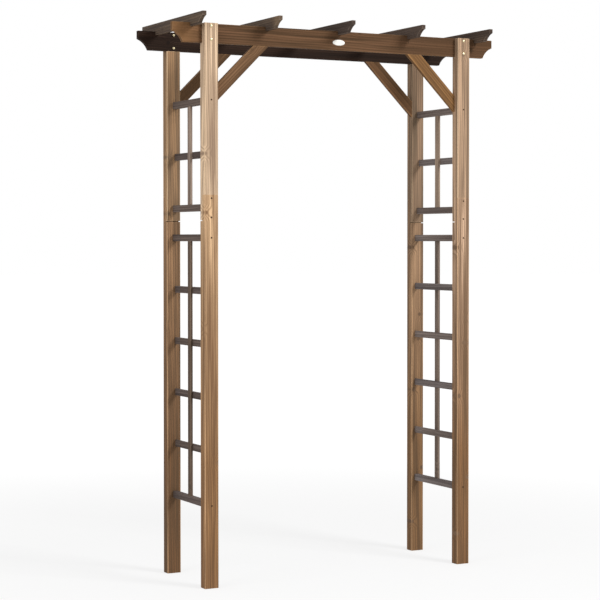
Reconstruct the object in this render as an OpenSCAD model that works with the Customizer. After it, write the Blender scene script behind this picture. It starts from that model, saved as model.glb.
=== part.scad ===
// Garden arbour: a softwood kit arch with four posts, two side beams, five rafters,
// four knee braces and an open trellis on each side.
// X runs along the beams, Y from front to back, Z up. The origin is on the ground,
// midway between the four feet.

/* [Frame] */
// Width over the outer faces of the posts, along X
frame_w = 1140; // [900:10:1600]
// Depth over the outer faces of the posts, along Y
frame_d = 390; // [320:5:800]

/* [Posts] */
// Post face, along X
post_w = 55; // [46:1:80]
// Post thickness, along Y
post_d = 40; // [34:1:60]
// Radius of the eased long edges of a post
post_ease = 3; // [1:0.5:6]
// Length of a lower post, from the ground to the end of its tongue
post_low_len = 1443; // [1200:1:1800]
// Length of an upper post, from the end of its tongue to its top
post_high_len = 719; // [600:1:1100]
// Length of the half lap that joins a lower and an upper post
lap_len = 95; // [60:1:120]
// Open gap under the end of the upper post's tongue
lap_gap = 3; // [0.5:0.5:6]

/* [Beams] */
// Thickness of a beam, and of the inner part of a lapped post
beam_t = 18; // [12:1:24]
// Height of a beam
beam_h = 72; // [60:1:110]
// How far a beam runs past the outer faces of the posts
beam_over = 117; // [90:1:200]
// Upright end face left above the scroll cut of a beam
beam_nose = 31; // [15:1:45]
// Length of the scroll cut along the underside of a beam
beam_scroll = 42; // [25:1:60]
// Radius of the concave scroll cut of a beam
beam_scroll_r = 68; // [55:1:120]

/* [Rafters] */
// Thickness of a rafter, along X
rafter_t = 15; // [12:1:24]
// Height of a rafter
rafter_h = 44; // [40:1:70]
// Depth of the notch that drops over a beam
notch_h = 14; // [8:1:20]
// Side clearance of that notch
notch_clear = 0.5; // [0.2:0.1:2]
// How far a rafter runs past the outer faces of the posts
rafter_over = 92; // [60:1:160]
// Distance from the end of a beam to the middle of the first rafter
rafter_inset = 77; // [20:1:110]
// Upright end face left above the scroll cut of a rafter
rafter_nose = 15; // [8:1:24]
// Length of the scroll cut along the underside of a rafter
rafter_scroll = 42; // [25:1:60]
// Radius of the concave scroll cut of a rafter
rafter_scroll_r = 70; // [45:1:120]

/* [Knee braces] */
// Length of the outer edge of a brace along the beam and down the post
brace_leg = 216; // [160:1:320]
// Width of a brace across its grain
brace_w = 44; // [30:1:60]

/* [Trellis] */
// Height of a rung
rung_h = 26; // [18:1:40]
// Thickness of one slat: an end rung is two slats thick
slat_t = 9; // [6:0.5:11]
// Width of the centre bar of a trellis, along Y
bar_w = 26; // [18:1:40]
// Distance from the outer face of a post to the outer face of the trellis
trellis_in = 23; // [12:1:30]
// Distance from the top of one rung to the top of the next
rung_pitch = 196.5; // [150:0.5:240]
// Bottom of the upper trellis, above the end of the upper post's tongue
upper_rise = 33.5; // [5:0.5:60]
// Top of the lower trellis, below the shoulder of the lower post's lap
lower_drop = 48.5; // [5:0.5:80]

/* [Hidden] */

rafter_count = 5;
upper_rungs = 3;
lower_rungs = 6;

// Margin by which a cutting shape runs past the wood that it cuts
over = 5;
// Smoothness of round cuts
fine = 96;

half_w = frame_w / 2;
half_d = frame_d / 2;
// The seam of a lapped post, measured in from its outer face
seam = post_d - beam_t;
// Lower end of the half lap, where the shoulder of the lower post lies
lap_low = post_low_len - lap_len;
tongue_low = lap_low + lap_gap;
beam_top = tongue_low + post_high_len;
beam_bottom = beam_top - beam_h;
beam_len = frame_w + 2 * beam_over;
rafter_pitch = (beam_len - 2 * rafter_inset) / (rafter_count - 1);
// Clear length of a rung, between the front and back posts
rung_len = frame_d - 2 * post_d;
// Outer face of the trellis, and the plane where the bar meets the middle rungs
trellis_x = half_w - trellis_in;
trellis_mid = trellis_x - slat_t;
// Tops of the highest rungs
upper_top = tongue_low + upper_rise + rung_h + (upper_rungs - 1) * rung_pitch;
lower_top = lap_low - lower_drop;

rafter_wood = "#4A4140";
beam_wood = "#6A4A35";
upper_wood = "#C7A27C";
lower_wood = "#9A7248";
slat_wood = "#6B5B55";

// Puts a piece of the back right corner on any corner: sx is -1 for left, sy for front
module corner(sx, sy) {
    mirror([sx < 0 ? 1 : 0, 0, 0])
        mirror([0, sy < 0 ? 1 : 0, 0])
            children();
}

// An upright prism with eased long edges, its low corner at the origin
module eased_prism(size, r) {
    linear_extrude(height = size[2])
        union() {
            translate([r, 0]) square([size[0] - 2 * r, size[1]]);
            translate([0, r]) square([size[0], size[1] - 2 * r]);
            for (x = [r, size[0] - r], y = [r, size[1] - r])
                translate([x, y]) circle(r = r, $fn = fine);
        }
}

// The full section of a post, from z = low to z = high
module post_blank(low, high) {
    translate([half_w - post_w, half_d - post_d, low])
        eased_prism([post_w, post_d, high - low], post_ease);
}

// Space of the inner part of a post, as thick as a beam
module inner_part(low, high) {
    translate([half_w - post_w - over, half_d - post_d - over, low])
        cube([post_w + 2 * over, beam_t + over, high - low]);
}

// Space of the outer part of a post
module outer_part(low, high) {
    translate([half_w - post_w - over, half_d - seam, low])
        cube([post_w + 2 * over, seam + over, high - low]);
}

// Lower post: its tongue stands up on the outer side
module post_lower(sx, sy) {
    color(lower_wood)
        corner(sx, sy)
            difference() {
                post_blank(0, post_low_len);
                inner_part(lap_low, post_low_len + over);
            }
}

// Upper post: its tongue hangs down on the inner side, and its top is cut back
// on the inner side to carry the beam
module post_upper(sx, sy) {
    color(upper_wood)
        corner(sx, sy)
            difference() {
                post_blank(tongue_low, beam_top);
                outer_part(tongue_low - over, post_low_len);
                inner_part(beam_bottom, beam_top + over);
            }
}

// Centre of the circle of radius r through p and q, on the right hand going from p to q
function arc_centre(p, q, r) =
    let (d = q - p, c = norm(d), n = [d[1], -d[0]] / c)
    (p + q) / 2 + n * sqrt(r * r - c * c / 4);

// Side of a board with a scroll cut at both ends: x along it, its top at y = 0
module scroll_profile(length, height, nose, scroll, r) {
    tip = [length / 2, -nose];
    heel = [length / 2 - scroll, -height];
    c = arc_centre(heel, tip, r);
    difference() {
        translate([-length / 2, -height]) square([length, height]);
        for (side = [-1, 1])
            translate([side * c[0], c[1]]) circle(r = r, $fn = fine);
    }
}

// A beam lies on the shoulders that are cut into the upper posts
module beam(sy) {
    color(beam_wood)
        corner(1, sy)
            translate([0, half_d - seam, beam_top])
                rotate([90, 0, 0])
                    linear_extrude(height = beam_t)
                        scroll_profile(beam_len, beam_h, beam_nose, beam_scroll, beam_scroll_r);
}

// A rafter crosses both beams, and is notched to drop over them
module rafter(i) {
    x = (i - (rafter_count + 1) / 2) * rafter_pitch;
    notch_w = beam_t + 2 * notch_clear;
    color(rafter_wood)
        difference() {
            translate([x - rafter_t / 2, 0, beam_top - notch_h + rafter_h])
                rotate([90, 0, 90])
                    linear_extrude(height = rafter_t)
                        scroll_profile(frame_d + 2 * rafter_over, rafter_h, rafter_nose,
                                       rafter_scroll, rafter_scroll_r);
            for (side = [-1, 1])
                translate([x - rafter_t / 2 - over,
                           side * (half_d - seam - beam_t / 2) - notch_w / 2,
                           beam_top - notch_h - over])
                    cube([rafter_t + 2 * over, notch_w, notch_h + over]);
        }
}

// Knee brace: in line with the beam, cut square to the beam and to the post
module brace(sx, sy) {
    inner_leg = brace_leg - brace_w * sqrt(2);
    color(beam_wood)
        corner(sx, sy)
            translate([half_w - post_w, half_d - seam, beam_bottom])
                rotate([90, 0, 0])
                    linear_extrude(height = beam_t)
                        polygon([[0, -inner_leg], [0, -brace_leg],
                                 [-brace_leg, 0], [-inner_leg, 0]]);
}

// Puts a piece of a right-hand trellis, whose bar is outside, on either side. The trellis
// at the upper right is a copy of the left one moved across, so its bar is inside.
module trellis_side(sx, copied = false) {
    translate([copied ? frame_w - post_w : 0, 0, 0])
        mirror([sx < 0 || copied ? 1 : 0, 0, 0])
            children();
}

// A rung butts both posts. An end rung is as thick as the trellis, and a middle rung
// lies on the inner side of the bar.
module rung(top, is_end) {
    translate([trellis_x - 2 * slat_t, -rung_len / 2, top - rung_h])
        cube([is_end ? 2 * slat_t : slat_t, rung_len, rung_h]);
}

// The centre bar stands between the end rungs
module bar(top, count) {
    low = top - (count - 1) * rung_pitch;
    translate([trellis_mid, -bar_w / 2, low])
        cube([slat_t, bar_w, top - rung_h - low]);
}

module upper_rung(sx, i) {
    color(slat_wood)
        trellis_side(sx, copied = sx > 0)
            rung(upper_top - (i - 1) * rung_pitch, i == 1 || i == upper_rungs);
}

module lower_rung(sx, i) {
    color(slat_wood)
        trellis_side(sx)
            rung(lower_top - (i - 1) * rung_pitch, i == 1 || i == lower_rungs);
}

module upper_bar(sx) {
    color(slat_wood)
        trellis_side(sx, copied = sx > 0)
            bar(upper_top, upper_rungs);
}

module lower_bar(sx) {
    color(slat_wood)
        trellis_side(sx)
            bar(lower_top, lower_rungs);
}

post_lower(-1, -1);  // front_left_post_lower
post_lower(1, -1);  // front_right_post_lower
post_lower(-1, 1);  // back_left_post_lower
post_lower(1, 1);  // back_right_post_lower
post_upper(-1, -1);  // front_left_post_upper
post_upper(1, -1);  // front_right_post_upper
post_upper(-1, 1);  // back_left_post_upper
post_upper(1, 1);  // back_right_post_upper
beam(-1);  // front_beam
beam(1);  // back_beam
rafter(1);  // rafter_1
rafter(2);  // rafter_2
rafter(3);  // rafter_3
rafter(4);  // rafter_4
rafter(5);  // rafter_5
brace(-1, -1);  // front_left_brace
brace(1, -1);  // front_right_brace
brace(-1, 1);  // back_left_brace
brace(1, 1);  // back_right_brace
upper_bar(-1);  // left_upper_bar
lower_bar(-1);  // left_lower_bar
upper_bar(1);  // right_upper_bar
lower_bar(1);  // right_lower_bar
upper_rung(-1, 1);  // left_upper_rung_1
upper_rung(-1, 2);  // left_upper_rung_2
upper_rung(-1, 3);  // left_upper_rung_3
lower_rung(-1, 1);  // left_lower_rung_1
lower_rung(-1, 2);  // left_lower_rung_2
lower_rung(-1, 3);  // left_lower_rung_3
lower_rung(-1, 4);  // left_lower_rung_4
lower_rung(-1, 5);  // left_lower_rung_5
lower_rung(-1, 6);  // left_lower_rung_6
upper_rung(1, 1);  // right_upper_rung_1
upper_rung(1, 2);  // right_upper_rung_2
upper_rung(1, 3);  // right_upper_rung_3
lower_rung(1, 1);  // right_lower_rung_1
lower_rung(1, 2);  // right_lower_rung_2
lower_rung(1, 3);  // right_lower_rung_3
lower_rung(1, 4);  // right_lower_rung_4
lower_rung(1, 5);  // right_lower_rung_5
lower_rung(1, 6);  // right_lower_rung_6
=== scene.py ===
import math

import bmesh
import bpy
from mathutils import Matrix, Vector


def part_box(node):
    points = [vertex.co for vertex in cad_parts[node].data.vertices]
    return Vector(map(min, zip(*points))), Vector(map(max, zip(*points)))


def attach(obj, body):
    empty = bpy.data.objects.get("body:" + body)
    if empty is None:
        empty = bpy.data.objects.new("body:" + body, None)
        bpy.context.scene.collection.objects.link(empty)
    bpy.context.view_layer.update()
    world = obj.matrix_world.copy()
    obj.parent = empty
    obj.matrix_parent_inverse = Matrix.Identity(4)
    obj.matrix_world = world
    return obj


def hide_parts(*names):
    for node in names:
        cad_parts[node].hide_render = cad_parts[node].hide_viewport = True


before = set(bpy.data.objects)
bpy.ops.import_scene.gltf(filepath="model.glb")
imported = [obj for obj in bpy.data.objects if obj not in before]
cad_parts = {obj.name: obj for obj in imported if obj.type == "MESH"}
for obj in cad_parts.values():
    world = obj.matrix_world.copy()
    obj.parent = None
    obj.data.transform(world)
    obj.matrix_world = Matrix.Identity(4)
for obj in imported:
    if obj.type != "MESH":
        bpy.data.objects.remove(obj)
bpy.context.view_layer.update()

# ---------------------------------------------------------------- lower posts
# Four planed softwood posts, 55 x 40 mm, stained brown by dipping, with rounded
# long edges. The half-lap tongue at the top stands on the outer side.


def linear(hex_colour):
    """An sRGB hex colour as the linear numbers that a shader takes."""
    c = [int(hex_colour[i:i + 2], 16) / 255 for i in (1, 3, 5)]
    return tuple(v / 12.92 if v <= 0.04045 else ((v + 0.055) / 1.055) ** 2.4 for v in c) + (1,)


def add(tree, kind, links=None, **settings):
    """A node with its settings and what is linked or set on its inputs."""
    node = tree.nodes.new(kind)
    for key, value in settings.items():
        setattr(node, key, value)
    for key, value in (links or {}).items():
        if isinstance(value, bpy.types.NodeSocket):
            tree.links.new(value, node.inputs[key])
        else:
            node.inputs[key].default_value = value
    return node


def stained_softwood(name, stain, pale, dark, along, across, tilt=0.0, streaks=0.6,
                     knots=1.0, edge_highlight_colour="#C9A27C", ends=(), darker_foot=None, rough=0.66):
    """Planed softwood under a thin stain: streaks and growth rings run along the board,
    knots go through it, the eased edges carry a painted highlight and the end grain is darker."""
    mat = bpy.data.materials.new(name)
    mat.use_nodes = True
    tree = mat.node_tree
    tree.nodes.clear()
    place = add(tree, "ShaderNodeTexCoord").outputs["Object"]
    turned = add(tree, "ShaderNodeVectorRotate", {"Vector": place, "Angle": tilt}, rotation_type="Y_AXIS")
    part = add(tree, "ShaderNodeSeparateXYZ", {0: turned.outputs[0]})
    through = ({"X", "Y", "Z"} - {along, across}).pop()
    q = add(tree, "ShaderNodeCombineXYZ", {0: part.outputs[along], 1: part.outputs[across],
                                            2: part.outputs[through]}).outputs[0]
    # fibre streaks 4 to 8 mm wide and half a metre long
    fine_at = add(tree, "ShaderNodeVectorMath", {0: q, 1: (2.0, 150, 150)}, operation="MULTIPLY")
    fine = add(tree, "ShaderNodeTexNoise", {"Vector": fine_at.outputs[0], "Scale": 1.0, "Detail": 5.0,
                                             "Roughness": 0.62}).outputs["Fac"]
    # wider streaks, 15 to 25 mm across, where heartwood and sapwood take the stain differently
    wide_at = add(tree, "ShaderNodeVectorMath", {0: q, 1: (1.5, 52, 52)}, operation="MULTIPLY")
    wide = add(tree, "ShaderNodeTexNoise", {"Vector": wide_at.outputs[0], "Scale": 1.0, "Detail": 3.0,
                                             "Distortion": 0.4}).outputs["Fac"]
    # the stain takes unevenly in patches about 300 mm long
    broad_at = add(tree, "ShaderNodeVectorMath", {0: q, 1: (3.2, 26, 26)}, operation="MULTIPLY")
    broad = add(tree, "ShaderNodeTexNoise", {"Vector": broad_at.outputs[0], "Scale": 1.0, "Detail": 3.0}).outputs["Fac"]
    # knots up to 14 mm across, about one in 220 mm, right through the board, each its own size
    cells = add(tree, "ShaderNodeTexVoronoi", {"Vector": q, "Scale": 4.5, "Randomness": 1.0},
                voronoi_dimensions="2D")
    size = add(tree, "ShaderNodeSeparateColor", {0: cells.outputs["Color"]}).outputs[0]
    rim = add(tree, "ShaderNodeMapRange", {0: size, 3: 0.006, 4: 0.03}).outputs[0]
    knot = cells.outputs["Distance"]
    in_knot = add(tree, "ShaderNodeMapRange", {0: knot, 1: rim, 2: 0.05, 3: knots, 4: 0.0},
                  interpolation_type="SMOOTHSTEP").outputs[0]
    round_knot = add(tree, "ShaderNodeMapRange", {0: knot, 1: 0.0, 2: 0.16, 3: 0.014, 4: 0.0},
                     interpolation_type="SMOOTHSTEP").outputs[0]
    # growth rings about a pith outside the board, bent round the knots. Real rings are 3 to
    # 5 mm apart; they are drawn 9 mm apart so that they show at the size of a whole arch.
    warp_at = add(tree, "ShaderNodeVectorMath", {0: q, 1: (1.6, 9, 9)}, operation="MULTIPLY")
    warp = add(tree, "ShaderNodeTexNoise", {"Vector": warp_at.outputs[0], "Scale": 1.0, "Detail": 2.0}).outputs["Color"]
    bent = add(tree, "ShaderNodeVectorMath", {0: warp, 1: (0, 0.02, 0.02), 2: q}, operation="MULTIPLY_ADD")
    shift = add(tree, "ShaderNodeCombineXYZ", {1: round_knot, 2: round_knot})
    eased = add(tree, "ShaderNodeVectorMath", {0: bent.outputs[0], 1: shift.outputs[0]}, operation="ADD")
    core = add(tree, "ShaderNodeMapping", {"Vector": eased.outputs[0], "Location": (0, 0.031, 0.047),
                                            "Rotation": (0, 0.012, 0.02)})
    rings = add(tree, "ShaderNodeTexWave", {"Vector": core.outputs[0], "Scale": 35.0, "Distortion": 0.0},
                wave_type="RINGS", rings_direction="X", wave_profile="SAW").outputs["Fac"]
    # colour: pale early wood, stain, dark late wood
    both = add(tree, "ShaderNodeMix", {0: 0.55, 2: fine, 3: wide}, data_type="FLOAT").outputs[0]
    tone = add(tree, "ShaderNodeMapRange", {0: both, 1: 0.41, 2: 0.58, 3: 0.0, 4: 1.0}).outputs[0]
    streak = add(tree, "ShaderNodeMix", {0: tone, 6: linear(dark), 7: linear(pale)}, data_type="RGBA").outputs[2]
    colour = add(tree, "ShaderNodeMix", {0: streaks, 6: linear(stain), 7: streak}, data_type="RGBA").outputs[2]
    patch = add(tree, "ShaderNodeMapRange", {0: broad, 1: 0.45, 2: 0.75, 3: 0.0, 4: 0.5}).outputs[0]
    colour = add(tree, "ShaderNodeMix", {0: patch, 6: colour, 7: linear(dark)}, data_type="RGBA").outputs[2]
    late = add(tree, "ShaderNodeMapRange", {0: rings, 1: 0.45, 2: 0.95, 3: 0.0, 4: 0.68}).outputs[0]
    colour = add(tree, "ShaderNodeMix", {0: late, 6: colour, 7: linear(dark)}, data_type="RGBA").outputs[2]
    # the timber turns to another tone towards an end of the board: a stain tone, except on the right half of the front
    # board, where it is painted shade
    for axis, start, end, tint, amount in ends:
        at = add(tree, "ShaderNodeSeparateXYZ", {0: place}).outputs[axis]
        near = add(tree, "ShaderNodeMapRange", {0: at, 1: start, 2: end, 3: 0.0, 4: amount},
                   interpolation_type="SMOOTHSTEP").outputs[0]
        colour = add(tree, "ShaderNodeMix", {0: near, 6: colour, 7: linear(tint)}, data_type="RGBA").outputs[2]
    # the lower posts are darker towards the foot
    if darker_foot:
        up = add(tree, "ShaderNodeSeparateXYZ", {0: place}).outputs["Z"]
        low = add(tree, "ShaderNodeMapRange", {0: up, 1: 1.3, 2: 0.45, 3: 0.0, 4: 1.0}).outputs[0]
        colour = add(tree, "ShaderNodeMix", {0: low, 6: colour, 7: linear(darker_foot)}, data_type="RGBA",
                     blend_type="MULTIPLY").outputs[2]
    colour = add(tree, "ShaderNodeMix", {0: in_knot, 6: colour, 7: linear(dark)}, data_type="RGBA").outputs[2]
    # end grain drinks the stain and goes darker
    flat = add(tree, "ShaderNodeAttribute", attribute_name="end_grain").outputs["Fac"]
    end_fac = add(tree, "ShaderNodeMath", {0: flat, 1: 0.45}, operation="MULTIPLY").outputs[0]
    colour = add(tree, "ShaderNodeMix", {0: end_fac, 6: colour, 7: linear(dark)}, data_type="RGBA").outputs[2]
    # painted highlight: the eased edges are mixed towards a pale colour where the streaks are light, and every face
    # gets a little of it
    edge = add(tree, "ShaderNodeAttribute", attribute_name="arris").outputs["Fac"]
    painted_edge_highlight = add(tree, "ShaderNodeMath", {0: edge, 1: tone}, operation="MULTIPLY").outputs[0]
    edge_fac = add(tree, "ShaderNodeMapRange", {0: painted_edge_highlight, 1: 0.0, 2: 1.0, 3: 0.15, 4: 0.85}).outputs[0]
    colour = add(tree, "ShaderNodeMix", {0: edge_fac, 6: colour, 7: linear(edge_highlight_colour)}, data_type="RGBA").outputs[2]
    relief = add(tree, "ShaderNodeMath", {0: late, 1: 1.2, 2: in_knot}, operation="MULTIPLY_ADD").outputs[0]
    raised = add(tree, "ShaderNodeMath", {0: fine, 1: relief}, operation="ADD").outputs[0]
    bump = add(tree, "ShaderNodeBump", {"Strength": 0.55, "Distance": 0.0006, "Height": raised}).outputs[0]
    sheen = add(tree, "ShaderNodeMapRange", {0: fine, 1: 0.3, 2: 0.7, 3: rough + 0.12, 4: rough - 0.08}).outputs[0]
    skin = add(tree, "ShaderNodeBsdfPrincipled", {"Base Color": colour, "Roughness": sheen, "Normal": bump})
    skin.inputs["Specular IOR Level"].default_value = 0.07
    add(tree, "ShaderNodeOutputMaterial", {"Surface": skin.outputs[0]})
    return mat


def sawn_piece(node, mat, grain, ease=0.0011):
    """A piece with the shape of its CAD solid, its sharp outer edges eased with sandpaper."""
    bm = bmesh.new()
    bm.from_mesh(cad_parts[node].data)
    bmesh.ops.remove_doubles(bm, verts=bm.verts, dist=1e-5)
    bmesh.ops.dissolve_limit(bm, angle_limit=math.radians(0.6), verts=bm.verts, edges=bm.edges)
    bm.normal_update()
    sharp = [e for e in bm.edges if len(e.link_faces) == 2 and e.is_convex
             and e.calc_face_angle(0) > math.radians(30)]
    rounded = bmesh.ops.bevel(bm, geom=sharp, offset=ease, segments=2, profile=0.6,
                              affect="EDGES", clamp_overlap=True)["faces"]
    bm.normal_update()
    # the arris attribute marks the eased edges, and the rounded long edges of the posts, that carry the painted
    # highlight
    arris = bm.loops.layers.float.new("arris")
    end_grain = bm.loops.layers.float.new("end_grain")
    small = set(rounded)
    run = Vector(grain).normalized()
    for face in bm.faces:
        n = face.normal
        turned_edge = abs(n.dot(run)) < 0.05 and "post" in node and max(abs(n.x), abs(n.y)) < 0.985
        for loop in face.loops:
            loop[arris] = 1.0 if face in small or turned_edge else 0.0
            loop[end_grain] = 1.0 if abs(n.dot(run)) > 0.7 and face not in small else 0.0
    bmesh.ops.triangulate(bm, faces=[f for f in bm.faces if len(f.verts) > 4])
    mesh = bpy.data.meshes.new(node + "_timber")
    bm.to_mesh(mesh)
    bm.free()
    for face in mesh.polygons:
        face.use_smooth = True
    mesh.set_sharp_from_angle(angle=math.radians(18))
    mesh.materials.append(mat)
    piece = bpy.data.objects.new(node + "_timber", mesh)
    bpy.context.scene.collection.objects.link(piece)
    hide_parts(node)
    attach(piece, "root")
    return piece


lower_tones = {
    "front_left": ("#CBA077", "#EDC79C", "#70523A", "#B09B84"),
    "front_right": ("#AE8B6E", "#D4B296", "#5C483A", "#9F8565"),
    "back_left": ("#7E5B44", "#A47E5C", "#3E2C1F", "#A18A73"),
    "back_right": ("#8B6A51", "#B49273", "#42322A", "#C0AE92"),
}
for corner, (stain, pale, dark, foot) in lower_tones.items():
    brown_pine = stained_softwood("brown_stained_pine_" + corner, stain, pale, dark, "Z", "X",
                                  streaks=0.9, edge_highlight_colour="#D8B088", darker_foot=foot)
    sawn_piece(corner + "_post_lower", brown_pine, (0, 0, 1))

# ---------------------------------------------------------------- upper posts
# The same section of timber, paler because less stain was left on it. The tongue hangs
# on the inner side, and the top is halved to carry the beam.
upper_tones = {
    "front_left": ("#D2AE8D", "#F0D2B0", "#786051"),
    "front_right": ("#A58366", "#C8A486", "#564236"),
    "back_left": ("#866244", "#AA8058", "#46301F"),
    "back_right": ("#745A48", "#9A7A62", "#382A22"),
}
for corner, (stain, pale, dark) in upper_tones.items():
    honey_pine = stained_softwood("honey_stained_pine_" + corner, stain, pale, dark, "Z", "X",
                                  streaks=0.9, edge_highlight_colour="#EACBA6")
    sawn_piece(corner + "_post_upper", honey_pine, (0, 0, 1))

# ---------------------------------------------------------------- beams
# Two 72 x 18 mm boards on edge, bandsawn to a scroll at each end and let into the
# inner side of the posts. The stain is darker, with redder timber at the front ends.
# The front board's right half is darkened with painted shade; the back board is darker still, partly stain and partly
# painted shade.
# the second end tone darkens the right half of the front board: painted shade
front_board = stained_softwood("walnut_stained_pine_front", "#523828", "#704F39", "#281A11", "X", "Z",
                               streaks=0.85, edge_highlight_colour="#9A7854",
                               ends=(("X", -0.52, -0.68, "#8C6440", 0.7), ("X", 0.0, 0.5, "#3A2418", 0.5)))
sawn_piece("front_beam", front_board, (1, 0, 0))
# the back board is near black: partly its darker stain, partly painted shade where it stands behind the front board
back_board_stain_and_shade = stained_softwood("walnut_stained_pine_back_and_painted_shade", "#201611", "#31221A", "#0F0A09", "X", "Z",
                              streaks=0.8, edge_highlight_colour="#4A382C")
sawn_piece("back_beam", back_board_stain_and_shade, (1, 0, 0))

# ---------------------------------------------------------------- rafters
# Five 44 x 15 mm boards, notched to sit over both beams, weathered grey-brown.
rafter_tones = (("#4C3E34", "#66543F", "#2A211D"), ("#483A31", "#665442", "#291F1B"),
                ("#40342F", "#564840", "#261D1A"), ("#443730", "#5C4C42", "#271E1B"),
                ("#4A3A32", "#62503F", "#291F1B"))
for number, (stain, pale, dark) in enumerate(rafter_tones, 1):
    extra = (("Y", -0.22, -0.27, "#8E765A", 0.5),) if number == 2 else ()
    grey_pine = stained_softwood(f"grey_stained_pine_{number}", stain, pale, dark, "Y", "Z",
                                 streaks=0.7, edge_highlight_colour="#86766A", knots=0.7, ends=extra)
    sawn_piece(f"rafter_{number}", grey_pine, (0, 1, 0))

# ---------------------------------------------------------------- knee braces
# Four 44 x 18 mm offcuts, mitred at both ends, screwed up between post and beam. Their
# grain runs along the 45 degree slope.
brace_tones = {
    "front_left": (1, "#614733", "#816147", "#2F1F16"),
    "front_right": (-1, "#845C34", "#AB7D4B", "#422C19"),
    "back_left": (1, "#463122", "#604630", "#21160F"),
    "back_right": (-1, "#533726", "#6E4D35", "#271810"),
}
for corner, (way, stain, pale, dark) in brace_tones.items():
    slope = math.radians(45) * way
    oiled_pine = stained_softwood("oak_stained_pine_brace_" + corner, stain, pale, dark, "X", "Z",
                                  tilt=slope, streaks=0.85, edge_highlight_colour="#B48A60", knots=0.6)
    sawn_piece(corner + "_brace", oiled_pine, (way, 0, 1))

# ---------------------------------------------------------------- trellis bars
# One upright slat, 26 x 9 mm, stands in the middle of each trellis panel between the end
# rungs. The upper ones are paler.
bar_tones = {
    "left_upper": ("#86756A", "#A79488", "#564944"),
    "left_lower": ("#493932", "#635045", "#281E1A"),
    "right_upper": ("#A7907D", "#CBB19B", "#6D5D51"),
    "right_lower": ("#6E6059", "#8F7E75", "#453A37"),
}
for panel, (stain, pale, dark) in bar_tones.items():
    slat_pine = stained_softwood("grey_stained_slat_" + panel, stain, pale, dark, "Z", "Y",
                                 streaks=0.75, edge_highlight_colour="#A8947E", knots=1.0)
    sawn_piece(panel + "_bar", slat_pine, (0, 0, 1), ease=0.0008)

# ---------------------------------------------------------------- trellis rungs
# Planed slats across each panel: the end rungs are two slats glued face to face, the
# middle ones a single slat behind the bar. The stain shows grey-purple on them.
rung_tones = {
    "left": (("#4A3F3C", "#665A55", "#2A2322"), ("#54463E", "#6E6058", "#322A27")),
    "right": (("#726968", "#8C8380", "#4C4545"), ("#776B66", "#92857E", "#504642")),
}
for side, pair in rung_tones.items():
    for turn, (stain, pale, dark) in enumerate(pair):
        rung_pine = stained_softwood(f"purple_grey_stained_slat_{side}_{turn + 1}", stain, pale, dark,
                                     "Y", "Z", streaks=0.85, edge_highlight_colour="#8E7E76", knots=0.6)
        for panel, count in (("upper", 3), ("lower", 6)):
            for number in range(1, count + 1):
                if number % 2 == turn:
                    sawn_piece(f"{side}_{panel}_rung_{number}", rung_pine, (0, 1, 0),
                               ease=0.0008)

# ---------------------------------------------------------------- bolts at the post tops
# Two M6 coach bolts hold each post top to its beam: a domed zinc plated head outside and
# a cap nut on the inner face of the beam.
HEAD_R, HEAD_RISE = 0.0055, 0.0028
BOLT_Z = (2.059, 2.010)


def zinc(name, tint, bright, rough):
    """Bright zinc plate, faintly yellow, with fine drawing marks that break the shine."""
    mat = bpy.data.materials.new(name)
    mat.use_nodes = True
    tree = mat.node_tree
    tree.nodes.clear()
    at = add(tree, "ShaderNodeTexCoord").outputs["Object"]
    grit = add(tree, "ShaderNodeTexNoise", {"Vector": at, "Scale": 900.0, "Detail": 3.0}).outputs["Fac"]
    dull = add(tree, "ShaderNodeMapRange", {0: grit, 3: rough - 0.08, 4: rough + 0.14}).outputs[0]
    bump = add(tree, "ShaderNodeBump", {"Strength": 0.2, "Distance": 0.0002, "Height": grit}).outputs[0]
    colour = add(tree, "ShaderNodeMix", {0: grit, 6: linear(tint), 7: linear(bright)},
                 data_type="RGBA").outputs[2]
    skin = add(tree, "ShaderNodeBsdfPrincipled", {"Base Color": colour, "Metallic": 1.0,
                                                  "Roughness": dull, "Normal": bump})
    add(tree, "ShaderNodeOutputMaterial", {"Surface": skin.outputs[0]})
    return mat


def turned_heads(name, spots, profile, mat, sides=32, slot_cut=False):
    """Like heads turned on a lathe, set at spots of (centre, outward direction)."""
    bm = bmesh.new()
    for centre, out in spots:
        face_out = Vector(out)
        side = face_out.orthogonal().normalized()
        up = face_out.cross(side)
        rings = []
        for radius, rise in profile:
            if radius == 0:
                rings.append([bm.verts.new(Vector(centre) + face_out * rise)])
                continue
            rings.append([bm.verts.new(Vector(centre) + face_out * rise
                                       + (side * math.cos(a) + up * math.sin(a)) * radius)
                          for a in (2 * math.pi * k / sides for k in range(sides))])
        for lower, upper in zip(rings, rings[1:]):
            for k in range(sides):
                a, b = lower[k], lower[(k + 1) % sides]
                if len(upper) == 1:
                    bm.faces.new((a, b, upper[0]))
                else:
                    bm.faces.new((a, b, upper[(k + 1) % sides], upper[k]))
        bm.faces.new(list(reversed(rings[0])))
    bmesh.ops.recalc_face_normals(bm, faces=bm.faces)
    mesh = bpy.data.meshes.new(name)
    bm.to_mesh(mesh)
    bm.free()
    for face in mesh.polygons:
        face.use_smooth = True
    mesh.set_sharp_from_angle(angle=math.radians(35))
    mesh.materials.append(mat)
    piece = bpy.data.objects.new(name, mesh)
    bpy.context.scene.collection.objects.link(piece)
    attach(piece, "root")
    return piece


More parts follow.
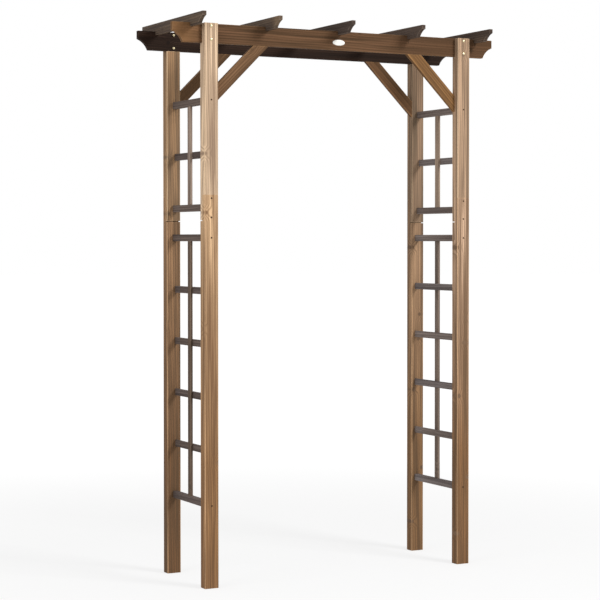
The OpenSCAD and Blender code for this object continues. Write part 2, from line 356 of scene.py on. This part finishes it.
bright_zinc = zinc("zinc_plated_steel_bolt", "#C8B88C", "#D8CEB0", 0.34)
dome = [(HEAD_R, 0.0), (HEAD_R, 0.0006)] + [
    (HEAD_R * math.cos(t), 0.0006 + (HEAD_RISE - 0.0006) * math.sin(t))
    for t in (math.radians(a) for a in (15, 30, 45, 60, 75))] + [(0, HEAD_RISE)]
for corner in ("front_left", "front_right", "back_left", "back_right"):
    low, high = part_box(corner + "_post_upper")
    outward = -1 if corner.startswith("front") else 1
    x = (low[0] + high[0]) / 2
    outer = low[1] if outward < 0 else high[1]
    beam_low, beam_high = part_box(corner.split("_")[0] + "_beam")
    inner = beam_high[1] if outward < 0 else beam_low[1]
    turned_heads(corner + "_bolt_heads", [((x, outer, z), (0, outward, 0)) for z in BOLT_Z], dome,
                 bright_zinc)
    nut = [(0.0050, 0.0), (0.0050, 0.0032), (0.0042, 0.0038), (0.0042, 0.0052), (0.0024, 0.0068), (0, 0.0072)]
    turned_heads(corner + "_cap_nuts", [((x, inner, z), (0, -outward, 0)) for z in BOLT_Z], nut,
                 bright_zinc, sides=6)

# ---------------------------------------------------------------- wood screws
# Countersunk screws: one through each post into the top rung of a panel and the lowest
# rung, two in each lap, and one under each rafter in the front beam. They are dulled brown.
brown_steel = zinc("browned_steel_screw", "#3E2E22", "#5A4636", 0.55)
flush = [(0.0034, 0.0), (0.0034, 0.0003), (0.0030, 0.0006), (0.0014, 0.0006), (0.0011, 0.0002), (0, 0.0002)]
for corner in ("front_left", "front_right", "back_left", "back_right"):
    outward = -1 if corner.startswith("front") else 1
    low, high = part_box(corner + "_post_lower")
    x, face = (low[0] + high[0]) / 2, (low[1] if outward < 0 else high[1])
    side = corner.split("_")[1]
    heights = []
    for panel, count in (("upper", 3), ("lower", 6)):
        for number in (1, count) if panel == "lower" else (1,):
            rung_low, rung_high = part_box(f"{side}_{panel}_rung_{number}")
            heights.append((rung_low[2] + rung_high[2]) / 2)
    heights += [1.431, 1.361]
    turned_heads(corner + "_post_screws", [((x, face, z), (0, outward, 0)) for z in heights], flush,
                 brown_steel, sides=20)
front_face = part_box("front_beam")[0][1]
turned_heads("front_beam_screws", [(((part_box(f"rafter_{n}")[0][0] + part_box(f"rafter_{n}")[1][0]) / 2,
                                     front_face, 2.058 if n < 3 else 2.045), (0, -1, 0))
                                   for n in range(1, 6)], flush, brown_steel, sides=20)

# ---------------------------------------------------------------- oval plate
# A plain white oval plate of moulded plastic, 52 x 22 mm, pinned to the middle of the
# front beam. It has nothing on it.
moulded = bpy.data.materials.new("white_moulded_abs")
moulded.use_nodes = True
tree = moulded.node_tree
tree.nodes.clear()
at = add(tree, "ShaderNodeTexCoord").outputs["Object"]
mottle = add(tree, "ShaderNodeTexNoise", {"Vector": at, "Scale": 400.0, "Detail": 2.0}).outputs["Fac"]
white = add(tree, "ShaderNodeMix", {0: mottle, 6: linear("#E6E4DE"), 7: linear("#F2F0EA")},
            data_type="RGBA").outputs[2]
soft = add(tree, "ShaderNodeMapRange", {0: mottle, 3: 0.42, 4: 0.55}).outputs[0]
add(tree, "ShaderNodeOutputMaterial", {"Surface": add(tree, "ShaderNodeBsdfPrincipled", {
    "Base Color": white, "Roughness": soft}).outputs[0]})
PLATE_A, PLATE_B, PLATE_T = 0.026, 0.011, 0.0016
middle = Vector((-0.003, front_face, 2.027))
bm = bmesh.new()
plate_rings = []
for shrink, rise in ((1.0, 0.0), (1.0, PLATE_T * 0.6), (0.985, PLATE_T * 0.85), (0.95, PLATE_T),
                     (0.55, PLATE_T * 1.12)):
    plate_rings.append([bm.verts.new(middle + Vector((PLATE_A * shrink * math.cos(a), -rise,
                                                      PLATE_B * shrink * math.sin(a))))
                        for a in (2 * math.pi * k / 64 for k in range(64))])
for inner_ring, outer_ring in zip(plate_rings, plate_rings[1:]):
    for k in range(64):
        bm.faces.new((inner_ring[k], inner_ring[(k + 1) % 64], outer_ring[(k + 1) % 64], outer_ring[k]))
bm.faces.new(plate_rings[-1])
bm.faces.new(list(reversed(plate_rings[0])))
bmesh.ops.recalc_face_normals(bm, faces=bm.faces)
mesh = bpy.data.meshes.new("oval_plate")
bm.to_mesh(mesh)
bm.free()
for face in mesh.polygons:
    face.use_smooth = True
mesh.set_sharp_from_angle(angle=math.radians(30))
mesh.materials.append(moulded)
plate = bpy.data.objects.new("oval_plate", mesh)
bpy.context.scene.collection.objects.link(plate)
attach(plate, "root")

# ---------------------------------------------------------------- floor and light
# A pale studio floor that goes to white for the camera and still takes the shadow, a big
# soft lamp at the upper front right, and a weak one on the left.
pale_floor = bpy.data.materials.new("pale_studio_floor")
pale_floor.use_nodes = True
tree = pale_floor.node_tree
tree.nodes.clear()
seen = add(tree, "ShaderNodeLightPath")
cam_or_gloss = add(tree, "ShaderNodeMath", {0: seen.outputs["Is Camera Ray"], 1: seen.outputs["Is Glossy Ray"]},
                   operation="MAXIMUM").outputs[0]
shown = add(tree, "ShaderNodeMath", {0: cam_or_gloss, 1: seen.outputs["Is Transmission Ray"]},
            operation="MAXIMUM").outputs[0]
matt = add(tree, "ShaderNodeBsdfDiffuse", {"Color": (0.8, 0.8, 0.8, 1)}).outputs[0]
# the sweep of the studio floor gets whiter away from the arch, so that it has no horizon
spot = add(tree, "ShaderNodeTexCoord").outputs["Object"]
away = add(tree, "ShaderNodeVectorMath", {0: spot}, operation="LENGTH").outputs["Value"]
white = add(tree, "ShaderNodeMapRange", {0: away, 1: 1.0, 2: 5.0, 3: 1.04, 4: 1.27},
            interpolation_type="SMOOTHSTEP").outputs[0]
glow = add(tree, "ShaderNodeEmission", {"Color": (1, 1, 1, 1), "Strength": white}).outputs[0]
share = add(tree, "ShaderNodeMath", {0: shown, 1: 0.72}, operation="MULTIPLY").outputs[0]
add(tree, "ShaderNodeOutputMaterial", {"Surface": add(tree, "ShaderNodeMixShader",
                                                      {0: share, 1: matt, 2: glow}).outputs[0]})
bm = bmesh.new()
bmesh.ops.create_circle(bm, cap_ends=True, segments=96, radius=60)
mesh = bpy.data.meshes.new("floor")
bm.to_mesh(mesh)
bm.free()
mesh.materials.append(pale_floor)
floor = bpy.data.objects.new("floor", mesh)
bpy.context.scene.collection.objects.link(floor)

world = bpy.data.worlds.new("studio")
bpy.context.scene.world = world
world.use_nodes = True
tree = world.node_tree
tree.nodes.clear()
seen = add(tree, "ShaderNodeLightPath")
first = add(tree, "ShaderNodeMath", {0: seen.outputs["Is Camera Ray"], 1: seen.outputs["Is Glossy Ray"]},
            operation="MAXIMUM").outputs[0]
shown = add(tree, "ShaderNodeMath", {0: first, 1: seen.outputs["Is Transmission Ray"]},
            operation="MAXIMUM").outputs[0]
room = add(tree, "ShaderNodeBackground", {"Color": (1, 1, 1, 1), "Strength": 0.55}).outputs[0]
white_back = add(tree, "ShaderNodeBackground", {"Color": (1, 1, 1, 1), "Strength": 1.0}).outputs[0]
add(tree, "ShaderNodeOutputWorld", {"Surface": add(tree, "ShaderNodeMixShader",
                                                   {0: shown, 1: room, 2: white_back}).outputs[0]})


def softbox(name, where, size, power):
    """A square soft lamp that faces the middle of the arch."""
    light = bpy.data.lights.new(name, "AREA")
    light.shape = "SQUARE"
    light.size = size
    light.energy = power
    lamp = bpy.data.objects.new(name, light)
    lamp.location = where
    lamp.rotation_euler = (Vector((0, 0, 1.1)) - Vector(where)).to_track_quat("-Z", "Y").to_euler()
    bpy.context.scene.collection.objects.link(lamp)


softbox("key_front_right", (2.6, -5.0, 4.6), 2.0, 260)
softbox("fill_left", (-5.0, -1.5, 2.6), 3.0, 70)

# ---------------------------------------------------------------- camera
# Stands at the front left at eye height, turned to the right and tipped slightly down.
lens = bpy.data.cameras.new("camera")
lens.sensor_width = 36
lens.lens = 107.79
lens.shift_x = -0.036
lens.shift_y = -0.0376
lens.clip_end = 200
camera = bpy.data.objects.new("camera", lens)
camera.location = (-3.2475, -6.1888, 1.2765)
camera.rotation_euler = (math.radians(90 - 1.178), 0, math.radians(-27.794))
bpy.context.scene.collection.objects.link(camera)
bpy.context.scene.camera = camera
bpy.context.scene.view_settings.view_transform = "Standard"

bpy.context.view_layer.update()
